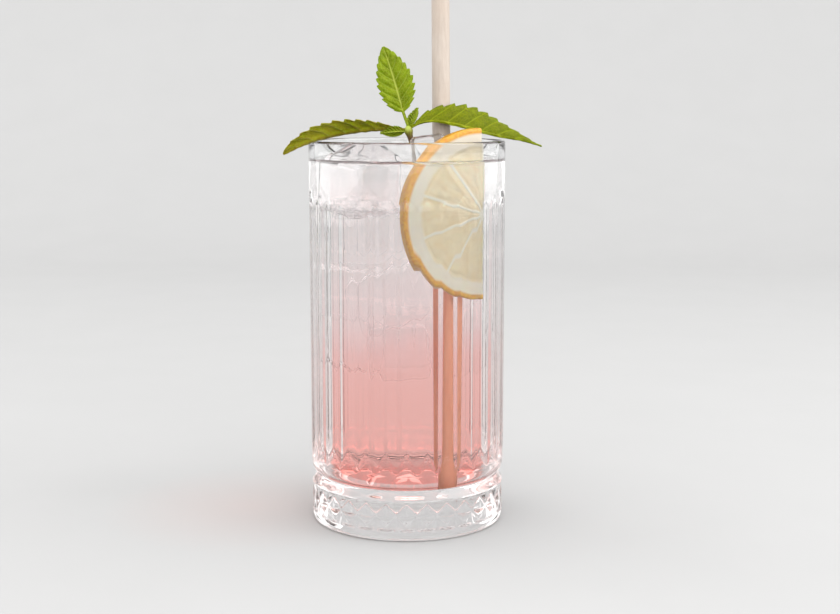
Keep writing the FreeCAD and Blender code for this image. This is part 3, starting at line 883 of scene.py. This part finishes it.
def leaf(name, base, length, width, headings, pitches, rolls, folds, left_share, stalk, peak, fullness):
    """A toothed, quilted leaf on an arching midrib, its two halves folded at the midrib."""
    place = sprig_node() + Vector(base)
    rings = []
    for row in range(LEAF_ROWS + 1):
        position = row / LEAF_ROWS
        heading = between(headings, position)
        pitch = math.radians(between(pitches, position))
        along = on_azimuth(heading, math.cos(pitch), math.sin(pitch))
        if row:
            place = place + along * (length / LEAF_ROWS)
        side = Quaternion(along, math.radians(between(rolls, position))) @ on_azimuth(heading + 90, 1, 0)
        normal = along.cross(side)
        bare = leaf_half_width(position, stalk, peak, fullness)
        tooth = TOOTH_DEPTH * (1 - (position * LEAF_TEETH) % 1) ** 1.3
        upper = []
        lower = []
        for column in range(LEAF_COLUMNS + 1):
            share = 2 * column / LEAF_COLUMNS - 1
            at_edge = smooth_step((abs(share) - 0.55) / 0.45)
            widest = width / 2 * (left_share if share < 0 else 1)
            reach = max(widest * bare * (1 - tooth * at_edge), STALK_RADIUS)
            fold = math.radians(folds[0] if share < 0 else folds[1]) * smooth_step(abs(share) * 5)
            distance = abs(share) * reach
            lift = distance * math.sin(fold) + blister(position - stalk, share, bare, length, widest)
            middle = place + side * (math.copysign(distance, share) * math.cos(fold)) + normal * lift
            rib = STALK_RADIUS * (1 - 0.8 * position) * max(0.0, 1 - abs(share) * reach / 0.9)
            thin = LEAF_HALF_THICKNESS * (1 - 0.5 * abs(share))
            upper.append(middle + normal * (thin + 0.4 * rib))
            lower.insert(0, middle - normal * (thin + rib))
        rings.append(upper + lower)
    count = len(rings[0])
    points = [point for ring in rings for point in ring]
    faces = ring_faces(len(rings), count)
    faces.append(tuple(range(count - 1, -1, -1)))
    faces.append(tuple(range((len(rings) - 1) * count, len(rings) * count)))
    item = new_object(name, points, faces)
    layer = item.data.uv_layers.new(name="blade")
    for loop in item.data.loops:
        row, slot = divmod(loop.vertex_index, count)
        column = slot if slot <= LEAF_COLUMNS else count - 1 - slot
        layer.data[loop.index].uv = (column / LEAF_COLUMNS, row / LEAF_ROWS)
    return item


def blister(position, share, bare, length, widest):
    """Quilted swellings between the sunk side veins, in mm."""
    if bare < 0.05:
        return 0.0
    slant = position - abs(share) * widest * VEIN_SLANT / length
    phase = (slant * VEINS) % 1
    between_veins = smooth_step(min(phase, 1 - phase) * 3.2)
    inside = smooth_step(abs(share) * 5) * smooth_step((1 - abs(share)) * 3)
    pucker = 0.2 * noise.noise(Vector((position * length * 0.5, share * widest * 0.5, 4)))
    droop = -0.05 * (abs(share) * widest) ** 1.5 / 4
    return (0.75 * between_veins * inside - 0.3) * min(1.0, bare * 1.6) + pucker + droop * bare


def make_stem():
    """Brownish stem, thickened where the leaves spring."""
    node = sprig_node()
    run = Vector((STEM_RUN[0], STEM_RUN[1], DRINK_LEVEL - STEM_DIP - node.z))
    direction = run.normalized()
    across = direction.cross(UP).normalized()
    behind = direction.cross(across)
    length = run.length
    rings = []
    steps = 14
    for along in spread(-1.6, length, 26):
        swell = 1.0 + 0.6 * math.exp(-((along - 0.3) / 1.6) ** 2)
        closing = math.sqrt(max(0.05, min(1.0, (along + 1.7) / 1.2)))
        ring = []
        for step in range(steps):
            angle = 2 * math.pi * step / steps
            square = 1 + 0.08 * math.cos(4 * angle)
            uneven = 1 + 0.08 * noise.noise(Vector((along * 0.6, math.cos(angle), math.sin(angle))))
            radius = swell * closing * square * uneven
            outward = across * math.cos(angle) + behind * math.sin(angle)
            ring.append(node + direction * along + outward * radius)
        rings.append(ring)
    points = [point for ring in rings for point in ring]
    faces = ring_faces(len(rings), steps)
    faces.append(tuple(range(steps - 1, -1, -1)))
    faces.append(tuple(range((len(rings) - 1) * steps, len(rings) * steps)))
    return new_object("mint_stem", points, faces)


def leaf_material(name, base, tip, pale, slant_share, stalk):
    """Mottled green blade with pale veins that leave the midrib on a slant."""
    look = Shader(
        name, Roughness=0.45, Specular_IOR_Level=0.07, Subsurface_Weight=0.25, Subsurface_Scale=0.0015)
    look.set("Subsurface Radius", (0.6, 1.0, 0.2))
    blade = look.node("ShaderNodeUVMap", uv_map="blade").outputs[0]
    axes = look.node("ShaderNodeSeparateXYZ", {0: blade})
    share = look.math("ABSOLUTE", look.math("SUBTRACT", look.math("MULTIPLY", axes.outputs[0], 2.0), 1.0))
    along = look.math("SUBTRACT", axes.outputs[1], stalk)
    forward = look.math("MULTIPLY", share, slant_share)
    phase = look.math("FRACT", look.math("SUBTRACT", look.math("MULTIPLY", along, VEINS), forward))
    ridge = look.math("MINIMUM", phase, look.math("SUBTRACT", 1.0, phase))
    side_vein = look.range(ridge, 0.07, 0.0)
    midrib = look.range(share, 0.07, 0.02)
    vein = look.math("MAXIMUM", look.math("MULTIPLY", side_vein, 0.55), midrib)
    cells = look.node(
        "ShaderNodeTexVoronoi", {"Vector": look.place(), "Scale": 0.9}, feature="DISTANCE_TO_EDGE")
    from_edge = cells.outputs["Distance"]
    net = look.range(from_edge, 0.12, 0.0)
    mottle = look.noise(look.place((0.28, 0.28, 0.28)), 1.0, 4.0)
    green = look.mix(look.range(mottle, 0.3, 0.7), base, tip)
    green = look.mix(look.math("MULTIPLY", net, 0.28), green, pale)
    look.set("Base Color", look.mix(vein, green, pale))
    look.bump(look.math("SUBTRACT", from_edge, look.math("MULTIPLY", vein, 0.3)), 0.3, 0.45)
    return look.material


def stem_material():
    look = Shader("mint_stem_skin", Roughness=0.5)
    level = look.level()
    streaks = look.noise(look.place((0.8, 0.8, 0.15)), 1.0, 3.0)
    shifted = look.math("ADD", level, look.range(streaks, 0.3, 0.7, -1.2, 1.2))
    height = look.range(shifted, GLASS_HEIGHT - 2, GLASS_HEIGHT + 6)
    look.set("Base Color", look.ramp(height, [
        (0.0, srgb(92, 66, 44)), (0.45, srgb(84, 62, 32)),
        (0.7, srgb(120, 122, 38)), (1.0, srgb(150, 165, 60)),
    ]))
    look.bump(streaks, 0.1, 0.5)
    return look.material


def make_mint():
    """Five leaves on one stem."""
    node = sprig_node()
    left_length = BODY_RADIUS + node.x + LEFT_OVERHANG
    right_length = BODY_RADIUS - node.x + RIGHT_OVERHANG
    # base, length, width, headings, pitches, rolls, folds, left share, stalk, peak, fullness
    leaves = {
        "mint_leaf_upright": (
            (0.2, 0, 0.8), 30.8, 14.8,
            (185, 185), (68, 75, 73, 69), (-84, -84), (14, 14), 1, 0.2, 0.78, 0.7),
        "mint_leaf_left": (
            (0, 0, 0), left_length, 19,
            (188, 188), (7, -6, -14, -31), (-4, 6), (14, 38), 1, 0.1, 1.15, 0.62),
        "mint_leaf_right": (
            (0, 0, 0), right_length, 20.5,
            (7, 22), (38, -10, -17, -9, -19), (62, 44), (42, 8), 0.28, 0.03, 0.86, 1.3),
        "mint_leaf_young_left": (
            (-0.3, 0, -0.4), 10.5, 4.6,
            (200, 200), (0, -4, -6), (80, 80), (15, 15), 1, 0.1, 0.8, 0.8),
        "mint_leaf_young_back": (
            (0, 0, 0), 10.5, 4.6,
            (60, 60), (60, 48, 40), (0, 0), (15, 15), 1, 0.1, 0.8, 0.8),
    }
    fresh = (srgb(86, 100, 0), srgb(112, 126, 14), srgb(150, 160, 66))
    greens = {
        "mint_leaf_left": (srgb(106, 94, 10), srgb(130, 117, 26), srgb(150, 142, 74)),
        "mint_leaf_right": (srgb(80, 88, 0), srgb(94, 102, 0), srgb(134, 140, 22)),
    }
    pieces = []
    for name, shape in leaves.items():
        item = leaf(name, *shape)
        outward_normals(item)
        length, width, stalk = shape[1], shape[2], shape[8]
        slant_share = width / 2 * VEIN_SLANT / length * VEINS
        look = leaf_material(name + "_skin", *greens.get(name, fresh), slant_share, stalk)
        pieces.append(finish_piece(item, look, "mint", "mint_sprig"))
    stem = make_stem()
    outward_normals(stem)
    pieces.append(finish_piece(stem, stem_material(), "mint", "mint_sprig"))
    return pieces


# ---------------------------------------------------------------- studio
TINT_PLACE = (-62, 10, 0)   # the table is tinted here, where light through the drink would fall
TINT_REACH = 60
CAMERA_PLACE = (4.97, -535.7, 162.5)
CAMERA_PITCH = 8.48
CAMERA_LENS = 59.84
WORLD_COLOUR = (1.0, 0.995, 0.99, 1)
WORLD_STRENGTH = 2.0


def make_backdrop():
    """Pale table that curves up into a pale wall."""
    width = 2600
    bend = 700
    depth = 1500
    profile = [(-1600, 0), (-900, 0), (-300, 0), (300, 0), (depth - bend, 0)]
    for angle in spread(0, 90, 24)[1:]:
        turn = math.radians(angle)
        profile.append((depth - bend + bend * math.sin(turn), bend - bend * math.cos(turn)))
    profile.append((depth, 2200))
    points = []
    for y, z in profile:
        for x in spread(-width / 2, width / 2, 4):
            points.append(Vector((x, y, z - 0.05)))
    faces = []
    for row in range(len(profile) - 1):
        for column in range(4):
            a = row * 5 + column
            faces.append((a, a + 1, a + 6, a + 5))
    item = new_object("backdrop", points, faces)
    look = Shader("pale_paper", Roughness=0.85, Specular_IOR_Level=0.2)
    grain = look.noise(look.place((0.02, 0.02, 0.02)), 1.0, 2.0)
    paper = look.mix(grain, (0.38, 0.38, 0.38), (0.395, 0.395, 0.395))
    from_tint = look.node("ShaderNodeVectorMath", {0: look.place(), 1: TINT_PLACE}, operation="DISTANCE")
    tinted = look.range(from_tint.outputs["Value"], TINT_REACH, 0.0, 0.0, 0.8)
    look.set("Base Color", look.mix(tinted, paper, (0.435, 0.385, 0.375)))
    item.data.materials.append(look.material)
    return item


def area_light(name, place, target, size, power):
    data = bpy.data.lights.new(name, "AREA")
    data.shape = "RECTANGLE"
    data.size, data.size_y = size[0] * MM, size[1] * MM
    data.energy = power
    item = bpy.data.objects.new(name, data)
    item.location = place * MM
    item.rotation_euler = (target - place).to_track_quat("-Z", "Y").to_euler()
    bpy.context.scene.collection.objects.link(item)
    return item


def make_lights():
    """Three soft boxes in an even, bright room."""
    middle = Vector((0, 0, 80))
    area_light("key_right", Vector((900, -250, 800)), middle, (700, 900), 5.0)
    area_light("fill_front", Vector((350, -1000, 500)), middle, (900, 700), 4.0)
    area_light("wash_left", Vector((-900, 500, 900)), Vector((-500, 300, 0)), (800, 800), 1.6)
    world = bpy.data.worlds.new("studio")
    bpy.context.scene.world = world
    world.use_nodes = True
    background = world.node_tree.nodes["Background"]
    background.inputs["Color"].default_value = WORLD_COLOUR
    background.inputs["Strength"].default_value = WORLD_STRENGTH


def make_camera():
    """Stands in front, a little over the rim, and looks slightly down."""
    data = bpy.data.cameras.new("camera")
    data.sensor_width = 36
    data.lens = CAMERA_LENS
    data.clip_start = 0.01
    item = bpy.data.objects.new("camera", data)
    item.location = mm(*CAMERA_PLACE)
    item.rotation_euler = (math.radians(90 - CAMERA_PITCH), 0, 0)
    bpy.context.scene.collection.objects.link(item)
    bpy.context.scene.camera = item


def set_up_scene():
    scene = bpy.context.scene
    scene.view_settings.view_transform = "Standard"
    scene.cycles.max_bounces = 24
    scene.cycles.transmission_bounces = 24
    scene.cycles.transparent_max_bounces = 16
    scene.cycles.diffuse_bounces = 4
    scene.cycles.glossy_bounces = 8
    scene.cycles.blur_glossy = 1.0
    scene.cycles.sample_clamp_indirect = 6.0


set_up_scene()
make_camera()
make_backdrop()
make_lights()

surface_ice = make_surface_ice()
make_drink([item for item, node in surface_ice])
wet_ice = ice_material("melting_ice", 1.31)
for item, node in surface_ice:
    finish_piece(item, wet_ice, "ice", node)
make_core()
make_sunken_ice()
make_glass()
make_straw()
make_lemon()
make_mint()
